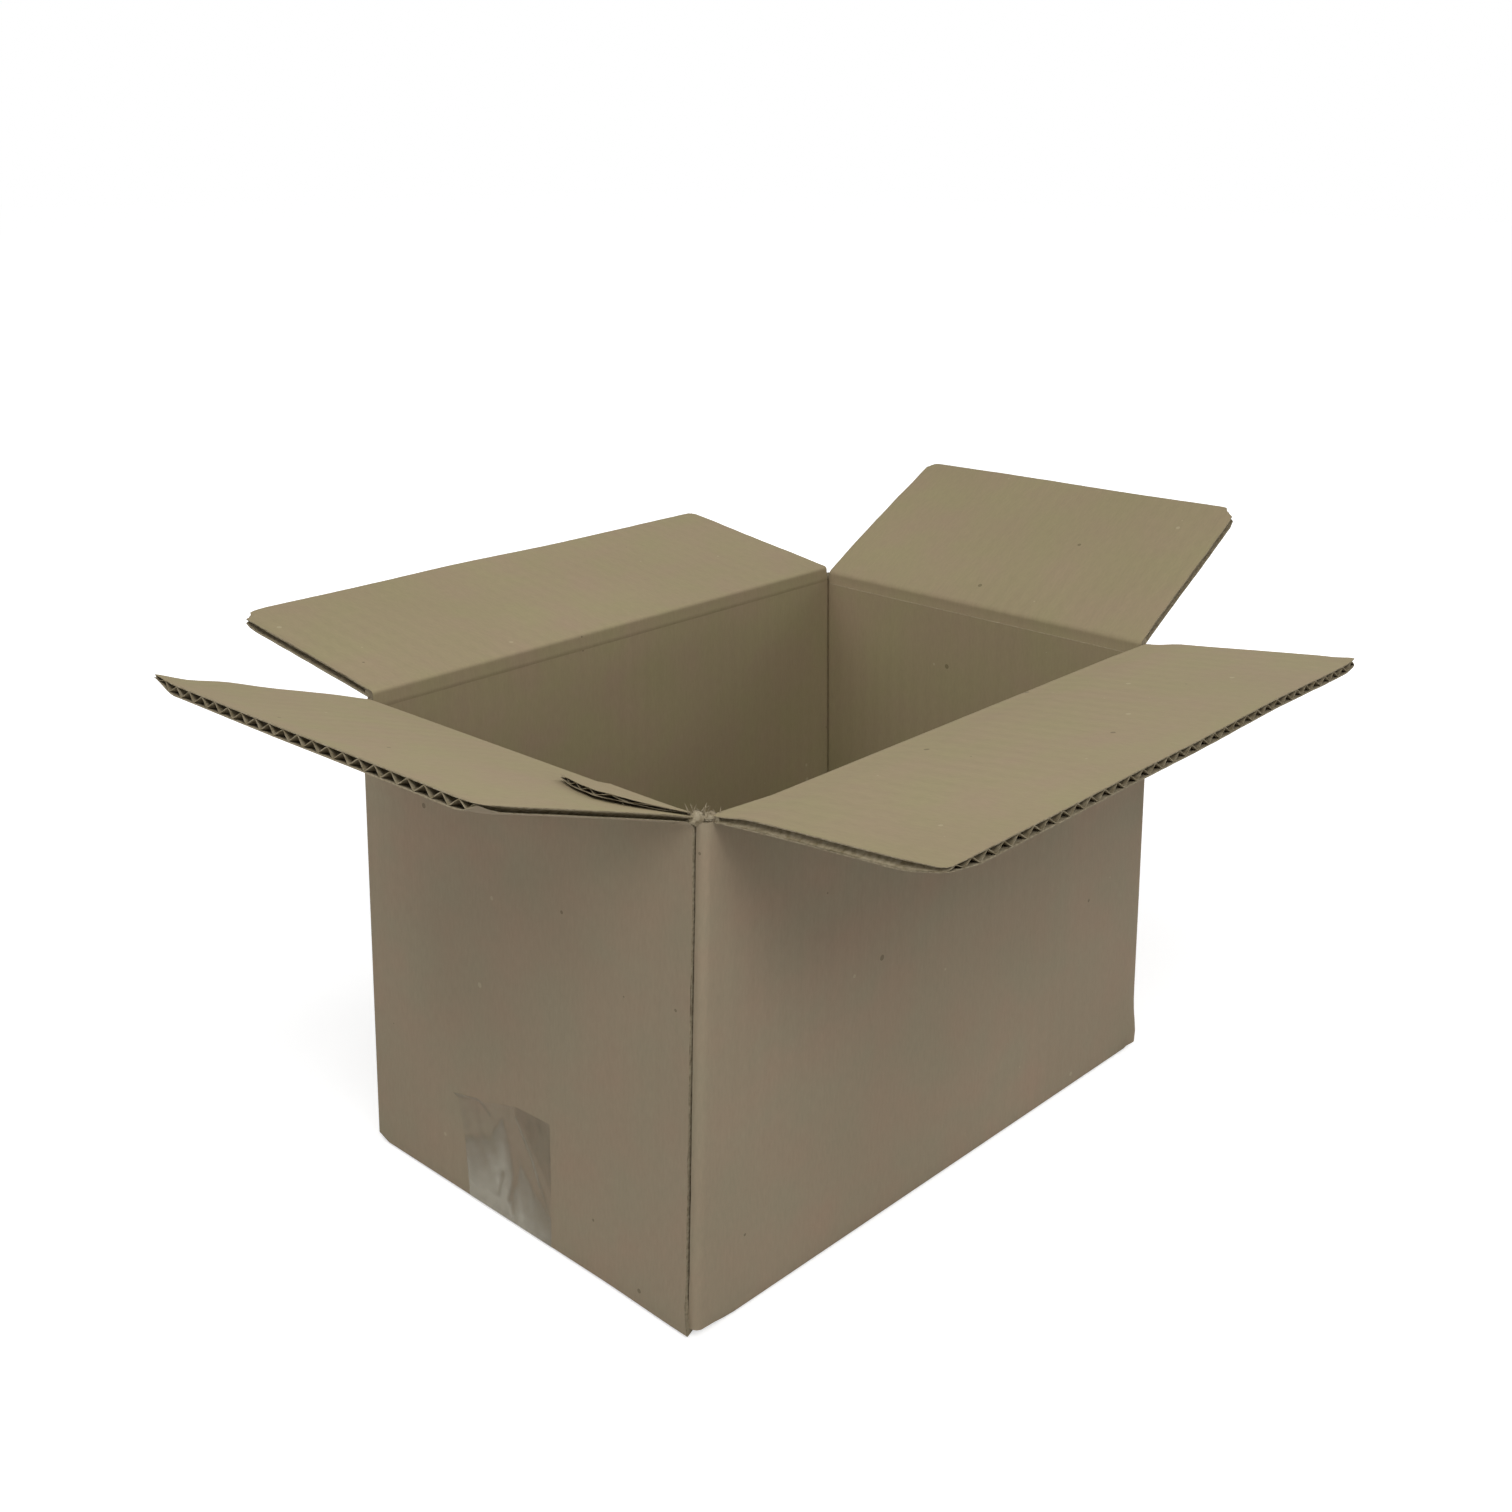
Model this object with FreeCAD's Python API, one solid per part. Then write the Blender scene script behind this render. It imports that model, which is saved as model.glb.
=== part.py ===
import FreeCAD, Part
import math
import os

# An open shipping carton: one sheet of single wall corrugated board, folded round four walls, glued
# down one corner, its bottom flaps taped shut and its four top flaps turned outwards.
# Millimetres. Origin at the middle of the underside, X along the long side, Z up.

# The board
board = 3.6
liner = 0.4
medium = 0.3
flute_pitch = 7.9
flute_foot = 0.3
flute_shoulder = 0.5
flute_round = 0.3
flute_tip = 0.15

# The box, measured outside, with the fold line of the two long top flaps as its height
length = 274.0
width = 180.0
score_height = 185.0

# How the top flaps stand, in degrees above level
front_flap_angle = 6.0
back_flap_angle = 7.4
left_flap_angle = 19.2
right_flap_angle = 29.5

# Folds
corner_radius = 3.0
inner_corner_radius = 0.8
foot_radius = 2.4
hinge_offset = 0.15
fold_gap = 0.3
crush_run = 1.5

# Slots and the gaps between flaps
slot_inset = 4.2
flap_corner_radius = 2.0
centre_gap = 1.0
bottom_gap = 0.6
layer_gap = 0.3

# The glued corner: the tab inside the left wall, and its end that stands up past the fold
tab_width = 37.0
tab_foot_cut = 6.0
tab_end_board = 3.0
tab_end_reach = 25.5
tab_end_slant = 3.2
tab_end_angle = 3.0
seam_inset = 4.4
seam_gap = 0.4
seam_step = 0.8

# The packing tape under the bottom seam and up both ends
tape_width = 47.0
tape_centre = 8.5
tape_thickness = 0.1
left_tape_rise = 52.5
left_tape_slant = 11.0
right_tape_rise = 50.0
right_tape_slant = 3.0

# Dependent sizes
half_length = length / 2
half_width = width / 2
end_score_height = score_height - board - layer_gap
mitre_shift = fold_gap / math.sqrt(2)
flap_reach = half_width + hinge_offset - centre_gap / 2
inner_face = hinge_offset + board
floor_top = 2 * board + layer_gap
long_flap_width = length - 2 * slot_inset
short_flap_width = width - 2 * slot_inset
tape_from = tape_centre - tape_width / 2
tape_to = tape_centre + tape_width / 2
margin = 1.0


def vector(x, y, z=0.0):
    return FreeCAD.Vector(x, y, z)


def block(x0, x1, y0, y1, z0, z1):
    return Part.makeBox(x1 - x0, y1 - y0, z1 - z0, vector(x0, y0, z0))


def slab(points, direction):
    """A prism: a closed outline of straight edges, carried along one direction."""
    outline = Part.makePolygon(points + [points[0]])
    return Part.Face(outline).extrude(direction)


def rounded_wire(corners):
    """A closed wire through corners given as (x, y, radius), each rounded by a tangent arc."""
    count = len(corners)
    starts = []
    ends = []
    middles = []
    for i in range(count):
        x, y, radius = corners[i]
        here = vector(x, y)
        before = vector(*corners[i - 1][:2]) - here
        after = vector(*corners[(i + 1) % count][:2]) - here
        before.normalize()
        after.normalize()
        half_turn = before.getAngle(after) / 2
        bisector = before + after
        bisector.normalize()
        starts.append(here + before * (radius / math.tan(half_turn)))
        ends.append(here + after * (radius / math.tan(half_turn)))
        middles.append(here + bisector * (radius / math.sin(half_turn) - radius))
    edges = []
    for i in range(count):
        if corners[i][2] > 0:
            edges.append(Part.Arc(starts[i], middles[i], ends[i]).toShape())
        edges.append(Part.LineSegment(ends[i], starts[(i + 1) % count]).toShape())
    return Part.Wire(edges)


def turned(shape, angle):
    """Turn about the upright axis through the origin."""
    shape.rotate(vector(0, 0, 0), vector(0, 0, 1), angle)
    return shape


def wall_top(height, depth):
    """Height of a wall's top at a depth in from its outer face: the board is mitred at its fold."""
    return height - hinge_offset - depth - mitre_shift


# The folded sheet

def wall_ring():
    """The four walls in plan. The left wall ends at the seam, a slit beside the front wall's fold."""
    seam_y = -half_width + seam_inset
    fold_y = seam_y - seam_gap
    fold_x = -half_length + seam_step
    slit_x = -half_length + board + seam_gap
    inner_x = half_length - board
    inner_y = half_width - board
    outline = rounded_wire([
        (-half_length, seam_y, 0),
        (-half_length, half_width, corner_radius),
        (half_length, half_width, corner_radius),
        (half_length, -half_width, corner_radius),
        (fold_x, -half_width, corner_radius),
        (fold_x, fold_y, 0),
        (slit_x, fold_y, 0),
        (slit_x, seam_y, 0),
    ])
    hollow = rounded_wire([
        (-inner_x, -inner_y, inner_corner_radius),
        (-inner_x, inner_y, inner_corner_radius),
        (inner_x, inner_y, inner_corner_radius),
        (inner_x, -inner_y, inner_corner_radius),
    ])
    rise = vector(0, 0, score_height)
    return Part.Face(outline).extrude(rise).cut(Part.Face(hollow).extrude(rise))


def fold_cut(half_span, height, depth, run, turn):
    """What is cut away above one wall's mitred top, for the wall that faces +Y before the turn."""
    top = score_height + margin
    shape = slab([
        vector(-run, half_span + margin, top),
        vector(-run, half_span + margin, wall_top(height, -margin)),
        vector(-run, half_span - depth, wall_top(height, depth)),
        vector(-run, half_span - depth, top),
    ], vector(2 * run, 0, 0))
    return turned(shape, turn)


def foot_cut(half_span, run_from, run_to, turn, lift=0.0):
    """The quarter round off a wall's outer bottom edge, for the wall that faces +Y before the turn."""
    bow = foot_radius * (1 - math.sin(math.pi / 4))
    inward = vector(run_from, half_span - foot_radius, lift)
    middle = vector(run_from, half_span - bow, lift + bow)
    upward = vector(run_from, half_span, lift + foot_radius)
    above = vector(run_from, half_span + margin, lift + foot_radius)
    beside = vector(run_from, half_span + margin, -margin)
    below = vector(run_from, half_span - foot_radius, -margin)
    edges = [Part.Arc(inward, middle, upward).toShape()]
    loop = [upward, above, beside, below, inward]
    for first, second in zip(loop, loop[1:]):
        edges.append(Part.LineSegment(first, second).toShape())
    shape = Part.Face(Part.Wire(edges)).extrude(vector(run_to - run_from, 0, 0))
    return turned(shape, turn)


def slot_cuts():
    """The ends of the bottom slots: at each corner the folded wall stops above the ground."""
    cuts = []
    for x_side in (-1, 1):
        x0, x1 = sorted((x_side * (half_length - slot_inset), x_side * (half_length + margin)))
        for y_side in (-1, 1):
            y0, y1 = sorted((y_side * (half_width - slot_inset), y_side * (half_width + margin)))
            cuts.append(block(x0, x1, y0, y1, -margin, foot_radius))
    return cuts


def bottom_flaps():
    """Short bottom flaps inside, long ones beneath them, meeting at the taped seam."""
    inner_x = half_length - board
    inner_y = half_width - board
    long_x = inner_x - bottom_gap
    short_y = inner_y - bottom_gap
    short_end = half_length - flap_reach
    flaps = []
    for side in (-1, 1):
        y0, y1 = sorted((side * inner_y, side * centre_gap / 2))
        flaps.append(block(-long_x, long_x, y0, y1, 0, board))
        x0, x1 = sorted((side * inner_x, side * short_end))
        flaps.append(block(x0, x1, -short_y, short_y, board + layer_gap, floor_top))
    return flaps


def glue_tab():
    """The front wall's tab, glued to the inside of the left wall, its foot cut at a slant."""
    x0 = -half_length + board
    y0 = -half_width + board
    y1 = y0 + tab_width
    foot = floor_top + layer_gap
    tab = slab([
        vector(x0, y0, foot),
        vector(x0, y1, foot + tab_foot_cut),
        vector(x0, y1, score_height),
        vector(x0, y0, score_height),
    ], vector(board, 0, 0))
    return tab.cut(fold_cut(half_length, end_score_height, 2 * board + margin, half_width, 90))


def tape_bed():
    """Where the tape lies, the board is pressed in by the tape's own thickness."""
    bed = block(-half_length - margin, half_length + margin, tape_from, tape_to, -margin, tape_thickness)
    return [
        bed,
        foot_cut(half_length, tape_from, tape_to, 90, tape_thickness),
        foot_cut(half_length, -tape_to, -tape_from, -90, tape_thickness),
    ]


def box_body():
    cuts = slot_cuts()
    for turn in (0, 180):
        run = half_length + margin
        cuts.append(fold_cut(half_width, score_height, board + margin, run, turn))
        cuts.append(foot_cut(half_width, -run, run, turn))
    for turn in (90, -90):
        run = half_width + margin
        cuts.append(fold_cut(half_length, end_score_height, board + layer_gap, run, turn))
        cuts.append(foot_cut(half_length, -run, run, turn))
    walls = wall_ring().cut(cuts)
    return walls.fuse(bottom_flaps() + [glue_tab()]).cut(tape_bed()).removeSplitter()


# The top flaps, built lying level with the fold line along Y at the origin, X outwards, inner face up

def flute_channel(centre, base, tip, half_base):
    """One channel's section between the flutes, from height base to its blunt tip."""
    shoulder = tip - math.copysign(flute_round, tip - base)
    return Part.makePolygon([
        vector(0, centre - half_base, base),
        vector(0, centre + half_base, base),
        vector(0, centre + flute_shoulder, shoulder),
        vector(0, centre + flute_tip, tip),
        vector(0, centre - flute_tip, tip),
        vector(0, centre - flute_shoulder, shoulder),
        vector(0, centre - half_base, base),
    ])


def corrugated(start, end, side_from, side_to, low, high):
    """Board between two liners, with a channel above and below each flank of its flutes."""
    count = round((side_to - side_from) / flute_pitch)
    pitch = (side_to - side_from) / count
    half_base = pitch / 2 - flute_foot
    section = Part.Face(Part.makePolygon([
        vector(0, side_from, low),
        vector(0, side_to, low),
        vector(0, side_to, high),
        vector(0, side_from, high),
        vector(0, side_from, low),
    ]))
    channels = []
    for i in range(count):
        centre = side_from + (i + 0.5) * pitch
        channels.append(flute_channel(centre, low + liner, high - liner - medium, half_base))
    for i in range(1, count):
        centre = side_from + i * pitch
        channels.append(flute_channel(centre, high - liner, low + liner + medium, half_base))
    section = section.cut([Part.Face(channel) for channel in channels])
    section.translate(vector(start, 0, 0))
    return section.extrude(vector(end - start, 0, 0))


def corner_cuts(half):
    """The blunted outer corners of a flap."""
    bow = flap_corner_radius * (1 - math.sin(math.pi / 4))
    cuts = []
    for side in (-1, 1):
        edge = side * half
        start = vector(flap_reach, edge - side * flap_corner_radius)
        middle = vector(flap_reach - bow, edge - side * bow)
        end = vector(flap_reach - flap_corner_radius, edge)
        beside = vector(flap_reach - flap_corner_radius, edge + side * margin)
        corner = vector(flap_reach + margin, edge + side * margin)
        outside = vector(flap_reach + margin, edge - side * flap_corner_radius)
        edges = [Part.Arc(start, middle, end).toShape()]
        loop = [end, beside, corner, outside, start]
        for first, second in zip(loop, loop[1:]):
            edges.append(Part.LineSegment(first, second).toShape())
        cuts.append(Part.Face(Part.Wire(edges)).extrude(vector(0, 0, inner_face + margin)))
    return cuts


def flap_blank(flap_width):
    """A flap: mitred and crushed shut at its fold, corrugated and open at its free edge."""
    half = flap_width / 2
    crush_end = inner_face + mitre_shift + crush_run
    root = slab([
        vector(hinge_offset + mitre_shift, -half, hinge_offset),
        vector(inner_face + mitre_shift, -half, inner_face),
        vector(crush_end, -half, inner_face),
        vector(crush_end, -half, hinge_offset),
    ], vector(0, flap_width, 0))
    leaf = corrugated(crush_end, flap_reach, -half, half, hinge_offset, inner_face)
    return root.fuse(leaf).cut(corner_cuts(half)).removeSplitter()


def tab_end_blank():
    """The tab's end, split off at the fold. It lies on the left flap's inner face, lifted a little."""
    outer_side = half_width - slot_inset
    inner_side = half_width - board - tab_width
    low = inner_face + layer_gap / 2
    high = low + tab_end_board
    fold = low + mitre_shift + layer_gap
    crush_end = fold + tab_end_board + crush_run
    root = slab([
        vector(fold, inner_side, low),
        vector(fold + tab_end_board, inner_side, high),
        vector(crush_end, inner_side, high),
        vector(crush_end, inner_side, low),
    ], vector(0, outer_side - inner_side, 0))
    leaf = corrugated(crush_end, tab_end_reach, inner_side, outer_side, low, high)
    trim = slab([
        vector(tab_end_reach - tab_end_slant, inner_side - margin, low - margin),
        vector(tab_end_reach + margin, inner_side - margin, low - margin),
        vector(tab_end_reach + margin, outer_side, low - margin),
        vector(tab_end_reach, outer_side, low - margin),
    ], vector(0, 0, tab_end_board + 2 * margin))
    shape = root.fuse(leaf).cut(trim).removeSplitter()
    shape.rotate(vector(fold, 0, low), vector(0, 1, 0), -tab_end_angle)
    return shape


def hung(shape, turn, half_span, height, angle):
    """Set a shape built at the fold line on its wall, turned up by its angle."""
    shape.rotate(vector(0, 0, 0), vector(0, 1, 0), -angle)
    shape.translate(vector(half_span + hinge_offset, 0, height))
    return turned(shape, turn)


# The packing tape

def packing_tape():
    """One strip: flush under the bottom, round both lower edges and up the end walls."""
    inner_x = half_length
    outer_x = half_length + tape_thickness
    outer_radius = foot_radius + tape_thickness
    section = Part.Face(rounded_wire([
        (-outer_x, left_tape_rise, 0),
        (-outer_x, 0, outer_radius),
        (outer_x, 0, outer_radius),
        (outer_x, left_tape_rise, 0),
        (inner_x, left_tape_rise, 0),
        (inner_x, tape_thickness, foot_radius),
        (-inner_x, tape_thickness, foot_radius),
        (-inner_x, left_tape_rise, 0),
    ]))
    section.rotate(vector(0, 0, 0), vector(1, 0, 0), 90)
    section.translate(vector(0, tape_from, 0))
    strip = section.extrude(vector(0, tape_width, 0))
    cuts = []
    for side, rise, slant in ((-1, left_tape_rise, left_tape_slant), (1, right_tape_rise, right_tape_slant)):
        near_x = side * (half_length - margin)
        fall = margin * slant / tape_width
        top = left_tape_rise + 2 * margin
        cuts.append(slab([
            vector(near_x, tape_from - margin, rise + fall),
            vector(near_x, tape_to + margin, rise - slant - fall),
            vector(near_x, tape_to + margin, top),
            vector(near_x, tape_from - margin, top),
        ], vector(side * 2 * margin, 0, 0)))
    return strip.cut(cuts)


os.makedirs("parts", exist_ok=True)
nodes = {
    "box_body": box_body(),
    "front_flap": hung(flap_blank(long_flap_width), -90, half_width, score_height, front_flap_angle),
    "back_flap": hung(flap_blank(long_flap_width), 90, half_width, score_height, back_flap_angle),
    "left_flap": hung(flap_blank(short_flap_width), 180, half_length, end_score_height, left_flap_angle),
    "right_flap": hung(flap_blank(short_flap_width), 0, half_length, end_score_height, right_flap_angle),
    "glue_tab_end": hung(tab_end_blank(), 180, half_length, end_score_height, left_flap_angle),
    "packing_tape": packing_tape(),
}
for name, shape in nodes.items():
    print(name, shape.ShapeType, len(shape.Solids), round(shape.Volume, 1), shape.isValid())
    shape.exportStep("parts/" + name + ".step")
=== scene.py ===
import math
import bmesh
import bpy
import numpy as np
from mathutils import Matrix, Vector


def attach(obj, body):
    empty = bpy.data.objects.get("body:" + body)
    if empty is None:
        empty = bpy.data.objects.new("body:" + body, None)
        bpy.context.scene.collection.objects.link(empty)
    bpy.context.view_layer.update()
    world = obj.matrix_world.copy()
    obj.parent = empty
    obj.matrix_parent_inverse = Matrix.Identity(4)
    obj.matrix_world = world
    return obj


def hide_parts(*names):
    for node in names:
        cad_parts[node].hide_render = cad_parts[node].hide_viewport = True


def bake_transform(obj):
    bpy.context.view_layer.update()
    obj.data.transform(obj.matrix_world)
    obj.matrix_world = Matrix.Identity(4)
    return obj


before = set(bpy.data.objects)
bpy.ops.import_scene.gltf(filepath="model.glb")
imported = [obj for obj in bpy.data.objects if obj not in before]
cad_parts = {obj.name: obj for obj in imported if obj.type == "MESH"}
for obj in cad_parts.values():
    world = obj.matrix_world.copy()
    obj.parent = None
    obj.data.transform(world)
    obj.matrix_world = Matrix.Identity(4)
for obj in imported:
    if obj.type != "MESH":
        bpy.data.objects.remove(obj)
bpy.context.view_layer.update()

# Studio. A camera a little above the box and off its near corner, in a white studio. The light comes from
# soft lamps: the main one over the near corner, one high behind the back left corner, weak ones low down.
frame_px = 1512
focal_px = 1747.4
axis_px = (758.4, 604.8)
camera_place = (-0.4912, -0.4406, 0.3912)
camera_forward = Vector((0.7099, 0.6535, -0.2625))
camera_down = Vector((-0.1875, -0.1839, -0.9649))

scene = bpy.context.scene
scene.view_settings.view_transform = "Standard"


def linear(hex_colour):
    """An sRGB hex colour as the linear values that the shaders take."""
    parts = [int(hex_colour[i:i + 2], 16) / 255 for i in (1, 3, 5)]
    return [c / 12.92 if c <= 0.04045 else ((c + 0.055) / 1.055) ** 2.4 for c in parts] + [1.0]


def node(tree, kind, settings=None, inputs=None):
    """A node with its settings, and its inputs given as values or as the outputs they are linked to."""
    made = tree.nodes.new(kind)
    for key, value in (settings or {}).items():
        setattr(made, key, value)
    for key, value in (inputs or {}).items():
        if isinstance(value, bpy.types.NodeSocket):
            tree.links.new(value, made.inputs[key])
        else:
            made.inputs[key].default_value = value
    return made


def emptied(owner):
    """The node tree of a world or a material, with nothing in it."""
    owner.use_nodes = True
    owner.node_tree.nodes.clear()
    return owner.node_tree


camera = bpy.data.objects.new("camera", bpy.data.cameras.new("camera"))
camera.data.sensor_width = 36.0
camera.data.lens = focal_px / frame_px * camera.data.sensor_width
camera.data.shift_x = (frame_px / 2 - axis_px[0]) / frame_px
camera.data.shift_y = (axis_px[1] - frame_px / 2) / frame_px
camera.data.clip_start = 0.01
camera.data.clip_end = 50.0
back = -camera_forward.normalized()
right = (-camera_down).cross(back).normalized()
turn = Matrix((right, back.cross(right), back)).transposed().to_4x4()
camera.matrix_world = Matrix.Translation(camera_place) @ turn
scene.collection.objects.link(camera)
scene.camera = camera

world = bpy.data.worlds.new("white_studio")
scene.world = world
tree = emptied(world)
rays = node(tree, "ShaderNodeLightPath")
seen = node(tree, "ShaderNodeMath", {"operation": "MAXIMUM"},
            {0: rays.outputs["Is Camera Ray"], 1: rays.outputs["Is Glossy Ray"]})
seen = node(tree, "ShaderNodeMath", {"operation": "MAXIMUM"},
            {0: seen.outputs[0], 1: rays.outputs["Is Transmission Ray"]})
sky = node(tree, "ShaderNodeBackground", None, {"Color": (1, 1, 1, 1), "Strength": seen.outputs[0]})
node(tree, "ShaderNodeOutputWorld", None, {"Surface": sky.outputs[0]})
lamp_size = 0.8
lamp_distance = 1.7
lamp_aim = Vector((0, 0, 0.1))


def lamp(name, rise, heading, watts):
    """A square soft lamp that faces the middle of the box, from its angles in degrees and power."""
    made = bpy.data.objects.new(name, bpy.data.lights.new(name, "AREA"))
    made.data.size = lamp_size
    made.data.energy = watts
    up, round_it = math.radians(rise), math.radians(heading)
    way = Vector((math.cos(up) * math.cos(round_it), math.cos(up) * math.sin(round_it), math.sin(up)))
    made.location = lamp_aim + way * lamp_distance
    made.rotation_mode = "QUATERNION"
    made.rotation_quaternion = way.to_track_quat("Z", "Y")
    scene.collection.objects.link(made)


lamp("near_front_lamp", 46.0, -118.0, 12.7)
lamp("low_right_lamp", 20.0, -20.0, 8.6)
lamp("high_back_left_lamp", 68.0, 150.0, 8.0)
lamp("back_left_lamp", 46.0, 140.0, 3.6)
lamp("right_lamp", 46.0, -14.0, 4.0)
lamp("low_left_lamp", 20.0, -168.0, 5.8)
lamp("low_front_lamp", 20.0, -100.0, 1.6)

floor_half = 8
floor_drop = 0.0006
glow_near = 0.3
glow_far = 0.9
least_glow = 0.62
floor_mesh = bpy.data.meshes.new("floor")
floor_corners = [(x * floor_half, y * floor_half, 0) for x, y in ((-1, -1), (1, -1), (1, 1), (-1, 1))]
floor_mesh.from_pydata(floor_corners, [], [(0, 1, 2, 3)])
floor = bpy.data.objects.new("floor", floor_mesh)
floor.location.z = -floor_drop
scene.collection.objects.link(floor)
floor_paint = bpy.data.materials.new("white_floor")
tree = emptied(floor_paint)
matt = node(tree, "ShaderNodeBsdfDiffuse", None, {"Color": (0.7, 0.7, 0.7, 1)})
rays = node(tree, "ShaderNodeLightPath")
from_box = node(tree, "ShaderNodeVectorMath", {"operation": "LENGTH"},
                {0: node(tree, "ShaderNodeTexCoord").outputs["Object"]})
amount = node(tree, "ShaderNodeMapRange", None,
              {"Value": from_box.outputs["Value"], "From Min": glow_near, "From Max": glow_far,
               "To Min": least_glow, "To Max": 1.0})
glow = node(tree, "ShaderNodeMath", {"operation": "MULTIPLY"},
            {0: rays.outputs["Is Camera Ray"], 1: amount.outputs[0]})
lift = node(tree, "ShaderNodeEmission", None, {"Color": (1, 1, 1, 1), "Strength": glow.outputs[0]})
both = node(tree, "ShaderNodeAddShader", None, {0: matt.outputs[0], 1: lift.outputs[0]})
node(tree, "ShaderNodeOutputMaterial", None, {"Surface": both.outputs[0]})
floor_mesh.materials.append(floor_paint)

# Walls. One sheet of brown single wall board, folded round four corners. The near left corner is the
# glued one: the left wall's cut edge stops beside the front wall's fold, over a dark slit.
mm = 0.001
board = 3.6
liner = 0.4
half_length = 137.0
half_width = 90.0
fold_height = 185.0
end_fold_height = 181.1
slot_inset = 4.2
fold_radius = 3.0
inner_fold_radius = 0.8
foot_radius = 2.4
left_foot_radius = 0.9
hinge_offset = 0.15
top_gap = 0.36
film = 0.1
seam_y = -85.4
fold_end = (-136.2, -86.0)
rack_top = 2.58
rack_bottom = -1.48
flute_pitch = 7.9
smooth_faces = 2
sharp_angle = 42.0
crease_depth = 1.3
near_corner_rise = 2.4
fine_swell = 0.3
wide_swell = 0.5
far_corner_out = 1.3
near_tip_out = 0.8
long_wall_end = half_length - board - 0.3
inside_layer = 500.0

# Each fold's place, the way its flap stands, and what handling did to it: how far the fold has risen
# or sunk (at its ends and a little in from them), how far the flap's outer corners have, and how much of
# the board's thickness the fold has crushed.
flaps = {
    "front": {"turn": -90.0, "span": half_width, "height": fold_height, "angle": 6.0,
              "half": half_length - slot_inset, "seed": 21, "lift": (0.9, -0.9, -1.2, -1.7),
              "tip": (-0.4, 0.3), "crush": 0.36, "phase": -0.25},
    "back": {"turn": 90.0, "span": half_width, "height": fold_height, "angle": 7.4,
             "half": half_length - slot_inset, "seed": 22, "lift": (0.0, 0.0, 0.0, 0.0), "tip": (0.3, 0.3),
             "crush": 0.08, "phase": 0.25},
    "left": {"turn": 180.0, "span": half_length, "height": end_fold_height, "angle": 19.2,
             "half": half_width - slot_inset, "seed": 23, "lift": (1.8, 2.0, 2.9, 3.2), "tip": (0.3, 2.4),
             "crush": 0.08, "phase": 0.25},
    "right": {"turn": 0.0, "span": half_length, "height": end_fold_height, "angle": 29.5,
              "half": half_width - slot_inset, "seed": 24, "lift": (2.3, 2.4, 2.5, 2.6), "tip": (1.4, 0.1),
              "crush": 0.1, "phase": 0.25},
}


def ripple(u, v, size, seed):
    """Smooth unevenness between about -1 and 1, with swells of about the given size in millimetres."""
    dice = np.random.default_rng(seed)
    total = 0.0
    waves = 11
    for _ in range(waves):
        heading = dice.uniform(0, math.tau)
        wavelength = size * dice.uniform(1.2, 2.6)
        along = u * math.cos(heading) + v * math.sin(heading)
        total = total + np.sin(math.tau * along / wavelength + dice.uniform(0, math.tau))
    return total * (1.6 / waves)


def step(value, start, end):
    """0 before start, 1 after end, smooth between."""
    t = np.clip((value - start) / (end - start), 0, 1)
    return t * t * (3 - 2 * t)


def settled(points):
    """The box has racked a little: its top is pushed along y at one end, and its foot the other way."""
    moved = np.array(points, float)
    share = np.clip(moved[:, 0] / half_length, -1.6, 1.6)
    height = np.clip(moved[:, 2] / fold_height, 0, 1)
    moved[:, 1] += share * (rack_bottom + (rack_top - rack_bottom) * height)
    return moved


def piece(name, points, faces, materials, face_slots=None, sheet=None):
    """A mesh in its place in the row frame, from points in millimetres. sheet holds each point's place
    on the flat board, for the patterns that follow it. The liners' faces are smooth, cut edges flat."""
    mesh = bpy.data.meshes.new(name)
    mesh.from_pydata((np.asarray(points) * mm).tolist(), [], [list(map(int, f)) for f in faces])
    for material in materials:
        mesh.materials.append(material)
    if face_slots is not None:
        mesh.polygons.foreach_set("material_index", list(map(int, face_slots)))
        mesh.polygons.foreach_set("use_smooth", [k < smooth_faces for k in face_slots])
    if sheet is not None:
        attribute = mesh.attributes.new("sheet", "FLOAT_VECTOR", "POINT")
        attribute.data.foreach_set("vector", (np.asarray(sheet, float) * mm).ravel())
    mesh.validate()
    mesh.set_sharp_from_angle(angle=math.radians(sharp_angle))
    made = bpy.data.objects.new(name, mesh)
    scene.collection.objects.link(made)
    return made


def grid_faces(rows, columns, offset=0, flip=False):
    """The quads between neighbouring rows of points."""
    index = offset + np.arange(rows * columns).reshape(rows, columns)
    a, b, c, d = index[:-1, :-1], index[:-1, 1:], index[1:, 1:], index[1:, :-1]
    corners = (a, d, c, b) if flip else (a, b, c, d)
    return np.stack([k.ravel() for k in corners], axis=1)


def sheet_faces(rows, columns):
    """The faces of a thin sheet, from its two grids of points: the low side, the high side, the rim."""
    size = rows * columns
    index = np.arange(size).reshape(rows, columns)
    loop = np.concatenate([index[0, :], index[1:, -1], index[-1, -2::-1], index[-2:0:-1, 0]])
    after = np.roll(loop, -1)
    rim = np.column_stack([loop, loop + size, after + size, after])
    return grid_faces(rows, columns), grid_faces(rows, columns, size, flip=True), rim


def on_sheet(across, up, layer):
    """Places on the flat sheet, for the patterns: round it, up it, and its outside or inside layer."""
    return np.column_stack([across, up, np.full(len(up), layer)])


# Sizes of the patterns in the paper. The grain is drawn coarser than single fibres, so that it shows.
cloud_size = 26.32
fade_size = 111.1
grain_size = 1.111
grain_stretch = 0.22
patch_size = 83.33
speck_spacing = 7.692
speck_share = 0.16
speck_reach = 0.15
speck_strength = 0.45
paper_ior = 1.47


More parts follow.
